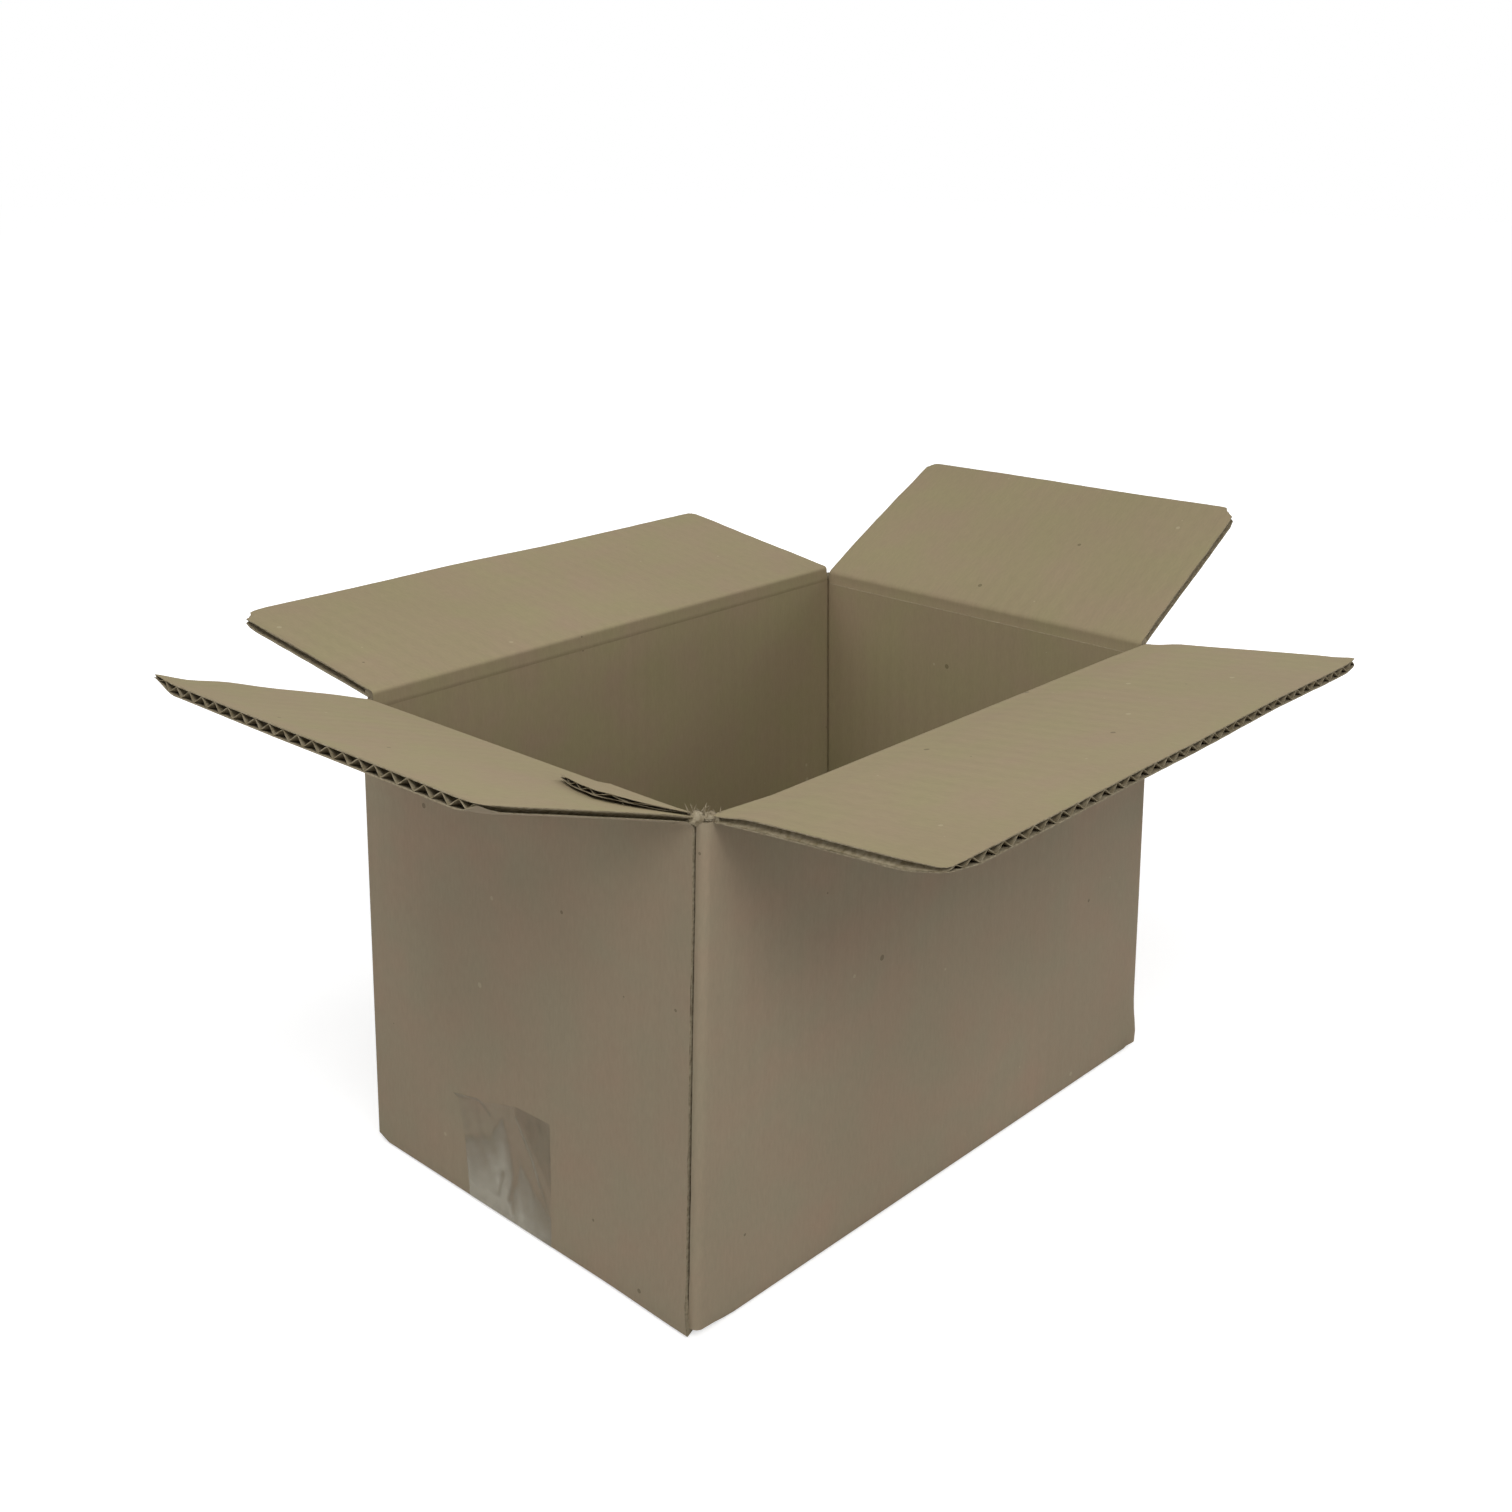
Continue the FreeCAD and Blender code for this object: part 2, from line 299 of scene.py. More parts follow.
def papery(made, tree, colour, height, depth, strength, rough, shine):
    """Finish a paper: matt, with the fine relief of its grain."""
    bump = node(tree, "ShaderNodeBump", None, {"Height": height, "Strength": strength, "Distance": depth})
    shader = node(tree, "ShaderNodeBsdfPrincipled", None,
                  {"Base Color": colour, "Normal": bump.outputs[0], "Roughness": rough, "IOR": paper_ior,
                   "Specular IOR Level": shine})
    node(tree, "ShaderNodeOutputMaterial", None, {"Surface": shader.outputs[0]})
    return made


def kraft(name, face, warm, shade, washboard_shade):
    """Kraft liner: unbleached wood pulp paper, pressed smooth. Its eye is a matt brown with cloudy patches,
    dark and pale specks of pulp, and the faint stripes of the flutes glued behind it: they stand in relief,
    and they are also painted into the colour as lighter and darker bands, painted light and shade of that
    relief."""
    made = bpy.data.materials.new(name)
    tree = emptied(made)
    place = node(tree, "ShaderNodeAttribute", {"attribute_name": "sheet"}).outputs["Vector"]
    split = node(tree, "ShaderNodeSeparateXYZ", None, {0: place})
    cloud = node(tree, "ShaderNodeTexNoise", None,
                 {"Vector": place, "Scale": 1 / (cloud_size * mm), "Detail": 3.0})
    tint = node(tree, "ShaderNodeMapRange", None,
                {"Value": cloud.outputs["Fac"], "From Min": 0.35, "From Max": 0.7})
    base = node(tree, "ShaderNodeMix", {"data_type": "RGBA"},
                {"Factor": tint.outputs[0], "A": linear(face), "B": linear(warm)})
    wide = node(tree, "ShaderNodeTexNoise", None,
                {"Vector": place, "Scale": 1 / (fade_size * mm), "Detail": 2.0})
    fade = node(tree, "ShaderNodeMapRange", None,
                {"Value": wide.outputs["Fac"], "From Min": 0.35, "From Max": 0.7, "To Max": 0.45})
    base = node(tree, "ShaderNodeMix", {"data_type": "RGBA"},
                {"Factor": fade.outputs[0], "A": base.outputs["Result"], "B": linear(shade)})
    stretch = node(tree, "ShaderNodeMapping", {"vector_type": "POINT"},
                   {"Vector": place, "Scale": (1.0, grain_stretch, 1.0)})
    pulp = node(tree, "ShaderNodeTexNoise", None,
                {"Vector": stretch.outputs[0], "Scale": 1 / (grain_size * mm), "Detail": 3.0,
                 "Roughness": 0.7})
    grain = node(tree, "ShaderNodeMapRange", None,
                 {"Value": pulp.outputs["Fac"], "From Min": 0.25, "From Max": 0.75,
                  "To Min": 0.94, "To Max": 1.06})
    phase = node(tree, "ShaderNodeMath", {"operation": "MULTIPLY"},
                 {0: split.outputs["X"], 1: math.tau / (flute_pitch * mm)})
    stripe = node(tree, "ShaderNodeMath", {"operation": "SINE"}, {0: phase.outputs[0]})
    patchy = node(tree, "ShaderNodeTexNoise", None,
                  {"Vector": place, "Scale": 1 / (patch_size * mm), "Detail": 1.0})
    strength = node(tree, "ShaderNodeMapRange", None,
                    {"Value": patchy.outputs["Fac"], "From Min": 0.4, "From Max": 0.65, "To Min": 0.1})
    stripe = node(tree, "ShaderNodeMath", {"operation": "MULTIPLY"},
                  {0: stripe.outputs[0], 1: strength.outputs[0]})
    # The flute stripes painted into the colour: painted light and shade of the ridges over the flutes, as
    # lighter and darker bands.
    stripes = node(tree, "ShaderNodeMapRange", {"clamp": False},
                   {"Value": stripe.outputs[0], "From Min": -1.0, "From Max": 1.0,
                    "To Min": 1 - washboard_shade, "To Max": 1 + washboard_shade})
    factor = node(tree, "ShaderNodeMath", {"operation": "MULTIPLY"},
                  {0: grain.outputs[0], 1: stripes.outputs[0]})
    base = node(tree, "ShaderNodeVectorMath", {"operation": "SCALE"},
                {0: base.outputs["Result"], "Scale": factor.outputs[0]})
    speck = node(tree, "ShaderNodeTexVoronoi", {"feature": "F1"},
                 {"Vector": place, "Scale": 1 / (speck_spacing * mm)})
    pick = node(tree, "ShaderNodeSeparateColor", None, {0: speck.outputs["Color"]})
    chosen = node(tree, "ShaderNodeMath", {"operation": "GREATER_THAN"},
                  {0: pick.outputs[0], 1: 1 - speck_share})
    reach = node(tree, "ShaderNodeMath", {"operation": "MULTIPLY"}, {0: pick.outputs[1], 1: speck_reach})
    inside = node(tree, "ShaderNodeMath", {"operation": "LESS_THAN"},
                  {0: speck.outputs["Distance"], 1: reach.outputs[0]})
    mark = node(tree, "ShaderNodeMath", {"operation": "MULTIPLY"},
                {0: chosen.outputs[0], 1: inside.outputs[0]})
    mark = node(tree, "ShaderNodeMath", {"operation": "MULTIPLY"}, {0: mark.outputs[0], 1: speck_strength})
    darker = node(tree, "ShaderNodeMath", {"operation": "GREATER_THAN"}, {0: pick.outputs[2], 1: 0.4})
    speck_colour = node(tree, "ShaderNodeMix", {"data_type": "RGBA"},
                        {"Factor": darker.outputs[0], "A": linear("#b5a98c"), "B": linear("#41351f")})
    base = node(tree, "ShaderNodeMix", {"data_type": "RGBA"},
                {"Factor": mark.outputs[0], "A": base.outputs[0], "B": speck_colour.outputs["Result"]})
    relief = node(tree, "ShaderNodeMath", {"operation": "MULTIPLY_ADD"},
                  {0: stripe.outputs[0], 1: 0.3, 2: pulp.outputs["Fac"]})
    return papery(made, tree, base.outputs["Result"], relief.outputs[0], 0.0001, 0.35, 0.8, 0.35)


def pulp_paper(name, dark, pale, size):
    """Paper seen on a cut or torn side, or unpressed: rough, matt and fibrous, with clumps of a size."""
    made = bpy.data.materials.new(name)
    tree = emptied(made)
    place = node(tree, "ShaderNodeTexCoord").outputs["Object"]
    pulp = node(tree, "ShaderNodeTexNoise", None, {"Vector": place, "Scale": 1 / (size * mm), "Detail": 3.0})
    tint = node(tree, "ShaderNodeMapRange", None,
                {"Value": pulp.outputs["Fac"], "From Min": 0.3, "From Max": 0.7})
    base = node(tree, "ShaderNodeMix", {"data_type": "RGBA"},
                {"Factor": tint.outputs[0], "A": linear(dark), "B": linear(pale)})
    return papery(made, tree, base.outputs["Result"], pulp.outputs["Fac"], 0.0002, 0.6, 0.95, 0.2)


# The last number is how strong the painted light and shade of the flute stripes is.
outer_kraft = kraft("kraft_liner_outside", "#978b74", "#9d8973", "#8c816a", 0.012)
inner_kraft = kraft("kraft_liner_inside", "#958a69", "#98866d", "#8b8061", 0.02)
cut_edge = pulp_paper("kraft_cut_edge_sheared", "#7d715b", "#a0957d", 1.4286)
board_skins = [outer_kraft, inner_kraft, cut_edge]


def fold_lift(flap, w):
    """How far the fold has risen at a place along it."""
    half = flap["half"]
    return np.interp(w, [-half, -0.78 * half, 0.78 * half, half], flap["lift"])


def wall_plan():
    """The walls in plan, from the seam round to the front wall's fold: outer and inner points."""
    corners = [(-1, 1), (1, 1), (1, -1), (-1, -1)]
    spacing = 5.0
    turn_steps = 6
    plan = [((-half_length, seam_y), (-half_length + board, seam_y))]
    for i, (sx, sy) in enumerate(corners):
        corner_x = fold_end[0] if i == 3 else sx * half_length
        centre = (corner_x - sx * fold_radius, sy * (half_width - fold_radius))
        inner_centre = (sx * (half_length - board - inner_fold_radius),
                        sy * (half_width - board - inner_fold_radius))
        for k in range(turn_steps + 1):
            a = math.radians(180.0 - 90.0 * (i + k / turn_steps))
            out = (centre[0] + fold_radius * math.cos(a), centre[1] + fold_radius * math.sin(a))
            deep = inner_fold_radius + crease_depth * math.sin(math.pi * k / turn_steps) ** 2
            into = (inner_centre[0] + deep * math.cos(a), inner_centre[1] + deep * math.sin(a))
            if k == 0:
                last_out, last_in = plan[-1]
                count = max(1, round(math.dist(last_out, out) / spacing))
                shares = [j / count for j in range(1, count)]
                if i in (1, 3):
                    for edge in (-long_wall_end, long_wall_end):
                        for side in (-0.05, 0.05):
                            shares.append((edge + side - last_out[0]) / (out[0] - last_out[0]))
                for t in sorted(s for s in shares if 0.0 < s < 1.0):
                    plan.append((
                        (last_out[0] + (out[0] - last_out[0]) * t, last_out[1] + (out[1] - last_out[1]) * t),
                        (last_in[0] + (into[0] - last_in[0]) * t, last_in[1] + (into[1] - last_in[1]) * t),
                    ))
            plan.append((out, into))
    plan.append((fold_end, (-half_length + board, fold_end[1])))
    return np.array(plan)


def wall_swell(along, rise, to_corner):
    """How far a panel stands out of its plane. The board dries uneven, and the folds hold it flat."""
    swell = fine_swell * ripple(along, rise, 55.0, 4) + wide_swell * ripple(along, rise, 140.0, 9)
    held = np.clip(to_corner / 40, 0, 1) * np.clip(rise / 30, 0, 1) * (1 - step(rise, 150.0, 176.0))
    return swell * held


plan = wall_plan()
outer_plan, inner_plan = plan[:, 0], plan[:, 1]
around = np.concatenate([[0], np.cumsum(np.linalg.norm(np.diff(outer_plan, axis=0), axis=1))])
x, y = outer_plan[:, 0], outer_plan[:, 1]
normals = np.column_stack([
    np.sign(x) * np.clip((np.abs(x) - (half_length - fold_radius)) / fold_radius, 0, 1),
    np.sign(y) * np.clip((np.abs(y) - (half_width - fold_radius)) / fold_radius, 0, 1),
])
normals /= np.linalg.norm(normals, axis=1)[:, None]
on_long = (np.abs(x) < long_wall_end) & (np.abs(y) > half_width - 1)
on_end = np.abs(x) > half_length - 0.01
to_corner = np.where(on_long, half_length - np.abs(x), half_width - np.abs(y))
raised = np.where(y < 0, fold_lift(flaps["front"], x), fold_lift(flaps["back"], -x))
end_raised = np.where(x < 0, fold_lift(flaps["left"], -y), fold_lift(flaps["right"], y))
outer_top = np.where(on_long, fold_height + raised, end_fold_height + end_raised) - top_gap
inner_top = np.where(on_long | on_end, outer_top - board, outer_top)
in_slot = (np.abs(x) > half_length - slot_inset) & (np.abs(y) > half_width - slot_inset)
near_fold = (x < 0) & (y < seam_y - 0.1)
outer_top = outer_top + near_corner_rise * (in_slot & (x < 0) & (y < 0))
inner_top = inner_top + near_corner_rise * (in_slot & (x < 0) & (y < 0))
foot = np.where(in_slot, foot_radius, film)
foot = np.where(near_fold, 2.8 * (1 - step(x, -130.0, -121.0)) + film, foot)
far_corner_bulge = np.exp(-((x - half_length) ** 2 + (y + half_width) ** 2) / 60.0)

foot_bend = np.where(x < -half_length + 0.01, left_foot_radius, foot_radius)
near_tip = step(-y, 40.0, 86.0) * (x < -half_length + 0.01)

foot_rows = 5
wall_rows = 36
outer_rows = []
outer_sheet = []
curled = foot < 1.0
for k in range(foot_rows):
    a = math.radians(90.0 * k / foot_rows)
    tuck = foot_bend * (1 - math.sin(a)) * curled
    rise = foot + foot_bend * (1 - math.cos(a)) * curled
    out = near_tip * near_tip_out - tuck
    outer_rows.append(np.column_stack([outer_plan + normals * out[:, None], rise]))
    outer_sheet.append(on_sheet(around, rise, 0.0))
for k in range(wall_rows + 1):
    low = np.maximum(foot, foot_bend + film)
    rise = low + (outer_top - low) * k / wall_rows
    out = wall_swell(around, rise, to_corner)
    out = out + far_corner_out * far_corner_bulge * np.exp(-((rise - 7.0) / 9.0) ** 2)
    out = out + near_tip_out * near_tip * np.exp(-(rise / 14.0) ** 2)
    outer_rows.append(np.column_stack([outer_plan + normals * out[:, None], rise]))
    outer_sheet.append(on_sheet(around, rise, 0.0))
inner_rows = []
inner_sheet = []
for k in range(wall_rows + 1):
    rise = foot + (inner_top - foot) * k / wall_rows
    out = wall_swell(around, rise, to_corner)
    inner_rows.append(np.column_stack([inner_plan + normals * out[:, None], rise]))
    inner_sheet.append(on_sheet(around, rise, inside_layer))
outer_rows = np.array(outer_rows)
seam_edge = outer_rows[:, 0, 2]
fold_edge = outer_rows[:, -1, 2]
frayed = 0.3 * ripple(seam_edge, 0 * seam_edge, 9.0, 12) + 0.25 * ripple(seam_edge, 1.0, 45.0, 5)
outer_rows[:, 0, 1] += frayed
outer_rows[:, 0, 1] -= 1.3 * np.exp(-(seam_edge / 5.0) ** 2)
outer_rows[:, -1, 1] += 0.16 * ripple(fold_edge, 3.0, 7.0, 13) - 0.12
columns = len(outer_plan)
rows = foot_rows + wall_rows + 1
points = np.concatenate([outer_rows.reshape(-1, 3), np.array(inner_rows).reshape(-1, 3)])
sheet = np.concatenate([np.array(outer_sheet).reshape(-1, 3), np.array(inner_sheet).reshape(-1, 3)])
outer_faces = grid_faces(rows, columns, flip=True)
inner_faces = grid_faces(wall_rows + 1, columns, rows * columns)
outer_last = (rows - 1) * columns
inner_first = rows * columns
inner_last = inner_first + wall_rows * columns
k = np.arange(columns - 1)
top_faces = np.column_stack([outer_last + k, inner_last + k, inner_last + k + 1, outer_last + k + 1])
under_faces = np.column_stack([k, k + 1, inner_first + k + 1, inner_first + k])


def end_face(column):
    """The cut edge of the board at one end of the ring."""
    out = [row * columns + column for row in range(rows)]
    into = [inner_first + row * columns + column for row in range(wall_rows + 1)]
    return out + into[::-1]


ends = [end_face(0)[::-1], end_face(columns - 1)]
faces = list(outer_faces) + list(inner_faces) + list(top_faces) + list(under_faces) + ends
edge_count = len(top_faces) + len(under_faces) + len(ends)
slots = [0] * len(outer_faces) + [1] * len(inner_faces) + [2] * edge_count
walls = piece("walls", settled(points), faces, board_skins, slots, sheet)
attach(walls, "box")
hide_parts("box_body")

# Fluting. A thinner sheet of rough, part cooked pulp, pressed hot into waves and glued between the
# liners. It shows at the free edges as a row of dark triangles between pale paper lines.
medium = 0.3
wave_points = 16
wave_sharpness = 0.93
inner_face = hinge_offset + board
fluting = pulp_paper("fluting_medium_unbleached", "#74684f", "#9a8f78", 1.6667)



def repeater(name, inputs):
    """A node tree with named inputs, to repeat a base form with: the tree and what it is given."""
    tree = bpy.data.node_groups.new(name, "GeometryNodeTree")
    for label, kind in inputs.items():
        tree.interface.new_socket(name=label, in_out="INPUT", socket_type="NodeSocket" + kind)
    tree.interface.new_socket(name="Repeated", in_out="OUTPUT", socket_type="NodeSocketGeometry")
    return tree, node(tree, "NodeGroupInput").outputs


flute_tree, given = repeater("flutes_in_a_row", {
    "Flute": "Geometry", "Pitch": "Float", "Count": "Int", "Paper": "Material"})
apart = node(flute_tree, "ShaderNodeCombineXYZ", None, {"Y": given["Pitch"]})
line = node(flute_tree, "GeometryNodeMeshLine", {"mode": "OFFSET"},
            {"Count": given["Count"], "Offset": apart.outputs[0]})
copies = node(flute_tree, "GeometryNodeInstanceOnPoints", None,
              {"Points": line.outputs[0], "Instance": given["Flute"]})
real = node(flute_tree, "GeometryNodeRealizeInstances", None, {0: copies.outputs[0]})
joined = node(flute_tree, "GeometryNodeMergeByDistance", None, {0: real.outputs[0], "Distance": 0.00001})
coloured = node(flute_tree, "GeometryNodeSetMaterial", None,
                {"Geometry": joined.outputs[0], "Material": given["Paper"]})
node(flute_tree, "NodeGroupOutput", None, {0: coloured.outputs[0]})


def repeated(base, tree, values):
    """The plain mesh that a repeater makes of a base object, which is used up: (points, faces)."""
    modifier = base.modifiers.new("repeat", "NODES")
    modifier.node_group = tree
    for socket in tree.interface.items_tree:
        if socket.name in values:
            modifier[socket.identifier] = values[socket.name]
    bpy.context.view_layer.update()
    mesh = bpy.data.meshes.new_from_object(base.evaluated_get(bpy.context.evaluated_depsgraph_get()))
    base.modifiers.remove(modifier)
    bpy.data.objects.remove(base)
    shape = bmesh.new()
    shape.from_mesh(mesh)
    bmesh.ops.holes_fill(shape, edges=[e for e in shape.edges if e.is_boundary], sides=0)
    shape.to_mesh(mesh)
    shape.free()
    co = np.zeros(len(mesh.vertices) * 3)
    mesh.vertices.foreach_get("co", co)
    faces = [list(p.vertices) for p in mesh.polygons]
    bpy.data.meshes.remove(mesh)
    return co.reshape(-1, 3) / mm, faces


def flute_row(lengths, side_from, side_to, low, high, phase):
    """The waves of one piece of board, lying flat: lengths along the flutes, sides across them. phase is
    the part of a wave at which the cut side falls, a quarter for its crest."""
    count = max(1, round((side_to - side_from) / flute_pitch))
    pitch = (side_to - side_from) / count
    swing = (high - low - 2 * liner - medium) / 2
    middle = (high + low) / 2
    t = np.arange(wave_points + 1) / wave_points
    turn = math.tau * (t + phase)
    wave = np.arcsin(wave_sharpness * np.sin(turn)) / math.asin(wave_sharpness) * swing
    slope = np.cos(turn) / np.sqrt(1 - (wave_sharpness * np.sin(turn)) ** 2)
    slope *= wave_sharpness / math.asin(wave_sharpness) * swing * math.tau / pitch
    bend = np.sqrt(1 + slope ** 2)
    unit = []
    for side in (1, -1):
        across = t * pitch - side * medium / 2 * slope / bend
        up = middle + wave + side * medium / 2 / bend
        for s in lengths:
            unit.append(np.column_stack([np.full_like(t, s), side_from + across, up]))
    runs = len(lengths)
    wide = wave_points + 1
    over = grid_faces(runs, wide, flip=True)
    under = grid_faces(runs, wide, runs * wide)
    k = np.arange(wave_points)
    far = (runs - 1) * wide
    start_cap = np.column_stack([k, k + 1, runs * wide + k + 1, runs * wide + k])
    end_cap = np.column_stack([far + k + 1, far + k, runs * wide + far + k, runs * wide + far + k + 1])
    shell = np.concatenate([over, under, start_cap, end_cap])
    flute = piece("one_flute", np.concatenate(unit), shell, [fluting])
    return repeated(flute, flute_tree, {"Pitch": pitch * mm, "Count": count, "Paper": fluting})


def paper(lengths, sides, low, high):
    """One sheet of paper, lying flat, with its thickness and its cut edges: (points, faces, kinds).
    A face's kind is 0 on the low side, 1 on the high side and 2 on a cut edge."""
    s, w = np.meshgrid(lengths, sides, indexing="ij")
    under = np.column_stack([s.ravel(), w.ravel(), np.full(s.size, low)])
    over = np.column_stack([s.ravel(), w.ravel(), np.full(s.size, high)])
    parts = sheet_faces(*s.shape)
    kinds = [kind for kind, part in enumerate(parts) for _ in part]
    return np.concatenate([under, over]), np.concatenate(parts), kinds


def liners(name, place, over, under, mark):
    """The two liners of a piece of board. over and under are sheets from paper(), place sets flat points
    where they belong, and mark gives their place on the flat sheet for the patterns."""
    faces = list(over[1]) + list(np.asarray(under[1]) + len(over[0]))
    slots = [1 if kind == 1 else 2 for kind in over[2]] + [0 if kind == 0 else 2 for kind in under[2]]
    flat = np.concatenate([over[0], under[0]])
    sheet = np.concatenate([mark(over[0], inside_layer), mark(under[0], 0.0)])
    return piece(name, place(flat), faces, board_skins, slots, sheet)


# Top flaps. Each is the same sheet carried on past the wall's fold, where the score has crushed it, so
# the inside liner runs over a round ridge and the outside one turns in a crease. All stand open.
flap_reach = 89.65
ridge_size = 1.8
crease_size = 0.5


def middle_of(flap):
    """How far round the flat sheet the middle of a flap's fold is."""
    a = math.radians(flap["turn"])
    fold = np.array([flap["span"] * math.cos(a), flap["span"] * math.sin(a)])
    return around[np.argmin(np.linalg.norm(outer_plan - fold, axis=1))]


def over_fold(points, flap):
    """Flat flap points (out from the fold, along it, up through the board) in the row frame. Points
    short of the fold go round the ridge and down the wall."""
    s, w, n = points[:, 0], points[:, 1], points[:, 2]
    tilt = math.radians(flap["angle"])
    slant = (1 - math.sin(tilt)) / math.cos(tilt)
    bend = crease_size + (ridge_size - crease_size) * np.clip(n / inner_face, 0, 1)
    from_corner = s + n * slant
    t = np.clip((from_corner + bend) / (2 * bend), 0, 1)
    beyond = np.maximum(from_corner - bend, 0)
    below = np.minimum(from_corner + bend, 0)
    out = -n + (t ** 2 * bend + beyond) * math.cos(tilt)
    up = n * slant - (1 - t) ** 2 * bend + (t ** 2 * bend + beyond) * math.sin(tilt) + below
    share = step(s, 0.0, flap_reach * 1.6) * 1.9
    tips = np.interp(w, [-flap["half"], flap["half"]], flap["tip"])
    up = up + fold_lift(flap, w) * (1 - np.clip(share, 0, 1)) + tips * np.clip(share, 0, 1)
    a = math.radians(flap["turn"])
    reach = flap["span"] + hinge_offset + out
    x = reach * math.cos(a) - w * math.sin(a)
    y = reach * math.sin(a) + w * math.cos(a)
    return settled(np.column_stack([x, y, flap["height"] + up]))


# Where a flap's outer corner is pinched, blunted or bent: the flap, which end of its fold, what share of
# the thickness is left, how far in that reaches, how far the tip is cut back, and how far it is bent up.
corner_wear = [
    ("front", -1, 0.45, 17.0, 0.8, 0.0),
    ("front", 1, 0.8, 10.0, 0.5, 0.5),
    ("left", -1, 0.3, 16.0, 0.3, 0.9),
    ("left", 1, 0.6, 9.0, 0.8, 0.0),
    ("back", 1, 0.4, 14.0, 3.2, -0.8),
    ("back", -1, 0.7, 9.0, 1.0, 0.0),
    ("right", -1, 0.6, 9.0, 3.0, 0.0),
    ("right", 1, 0.7, 9.0, 1.6, 0.0),
]


def worn(points, name):
    """What handling did to a flap: a slight bow, uneven cut edges, blunted and pinched corners."""
    flap = flaps[name]
    shaped = np.array(points, float)
    s, w, n = points[:, 0], points[:, 1], points[:, 2]
    seed = flap["seed"]
    shaped[:, 2] *= 1 - flap["crush"] * (1 - step(s, 1.0, 16.0)) * step(s, -10.0, -5.0)
    shaped[:, 2] += ripple(s, w, 60.0, seed) * 0.45 * step(s, 10.0, flap_reach)
    near_side = step(np.abs(w), flap["half"] - 3, flap["half"])
    ragged = 0.15 * ripple(s, n * 0.8, 8.0, seed + 10) + 0.12 * ripple(s, n * 2.0, 2.2, seed + 30)
    shaped[:, 1] += np.sign(w) * near_side * (ragged - 0.1) * step(s, 3.0, 8.0)
    near_end = step(s, flap_reach - 3, flap_reach)
    ragged = 0.12 * ripple(w, n * 0.8, 10.0, seed + 20) + 0.08 * ripple(w, n * 2.0, 2.6, seed + 40)
    shaped[:, 0] += near_end * (ragged - 0.1)
    if name == "left":
        crushed = 0.42 * step(w, flap["half"] - 5.0, flap["half"] - 0.5) * step(s, -1.0, 4.0)
        shaped[:, 2] += (inner_face - n) * crushed
        shaped[:, 2] += 0.8 * np.exp(-((w + flap["half"]) / 6.0) ** 2) * np.exp(-((s - 62.0) / 13.0) ** 2)
    for flap_name, end, kept, size, cut, bent in corner_wear:
        if flap_name == name:
            away = np.hypot(flap_reach - s, flap["half"] - end * w)
            hurt = 1 - step(away, 0.0, size)
            shaped[:, 2] += (inner_face - n) * (1 - kept) * hurt + bent * hurt
            tip = 1 - step(away, 0.0, 2.0 + cut * 1.5)
            shaped[:, 0] -= cut * tip
            shaped[:, 1] -= end * cut * tip
    return shaped


for name, flap in flaps.items():
    slant = (1 - math.sin(math.radians(flap["angle"]))) / math.cos(math.radians(flap["angle"]))
    corner = -inner_face * slant
    sides = np.sort(np.concatenate([
        np.linspace(-flap["half"], flap["half"], round(flap["half"] / 1.3)),
        [-flap["half"] + 0.5, flap["half"] - 0.5],
    ]))
    near_edge = flap_reach - np.array([3.5, 2.2, 1.0, 0.0])
    run = np.concatenate([np.linspace(7.0, flap_reach - 5.0, 20), near_edge])
    ridge = np.linspace(corner - ridge_size, corner + ridge_size, 9)
    start = corner - inner_face * slant - board - top_gap
    over = paper(np.concatenate([[start, start + 2.0], ridge, [0.2, 2.0, 4.5], run]), sides,
                 inner_face - liner, inner_face)
    under = paper(np.concatenate([[-1.0, -0.4, 0.0, 0.4, 1.0, 2.5, 4.5], run]), sides,
                  hinge_offset, hinge_offset + liner)
    filler_sides = np.clip(sides, -flap["half"] + 0.4, flap["half"] - 0.4)
    filler_sides = np.unique(np.round(filler_sides, 4))
    filler = paper([start + 1.5, corner - 1.5, corner, corner + 1.5, -0.4, 0.6, 2.2], filler_sides,
                   hinge_offset + liner, inner_face - liner)
    centre = middle_of(flap)

    def mark(points, layer):
        """Flap points carry on the wall's flat sheet."""
        return on_sheet(centre - points[:, 1], flap["height"] + points[:, 0], layer)

    def place(points):
        """Flat points of this flap where they belong, worn and turned over its fold."""
        return over_fold(worn(points, name), flap)

    skin = liners(name + "_flap_liners", place, over, under, mark)
    crushed = piece(name + "_flap_crushed_fold", place(filler[0]), filler[1], [cut_edge])
    near_edge = flap_reach - np.array([2.0, 0.12])
    lengths = np.concatenate([[1.6], np.linspace(8.0, flap_reach - 5.0, 9), near_edge])
    waves, wave_faces = flute_row(lengths, -flap["half"], flap["half"], hinge_offset, inner_face,
                                  flap["phase"])
    core = piece(name + "_flap_fluting", place(waves), wave_faces, [fluting])
    a = math.radians(flap["turn"])
    lift = sum(flap["lift"]) / 4
    for made in (skin, crushed, core):
        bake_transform(made)
        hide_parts(name + "_flap")

# Bottom flaps. The short ones lie inside, over the long ones, and all four are folded in flat. Their
# free edges show the same open flutes down inside the box.
under_gap = 0.12
bottom_flaps = [
    ("long_bottom_flap_front", -90.0, half_width, half_length - board - 0.6, under_gap, half_width - 0.5),
    ("long_bottom_flap_back", 90.0, half_width, half_length - board - 0.6, under_gap, half_width - 0.5),
    ("short_bottom_flap_left", 180.0, half_length, half_width - board - 0.6, board + 0.4, flap_reach),
    ("short_bottom_flap_right", 0.0, half_length, half_width - board - 0.6, board + 0.4, flap_reach),
]


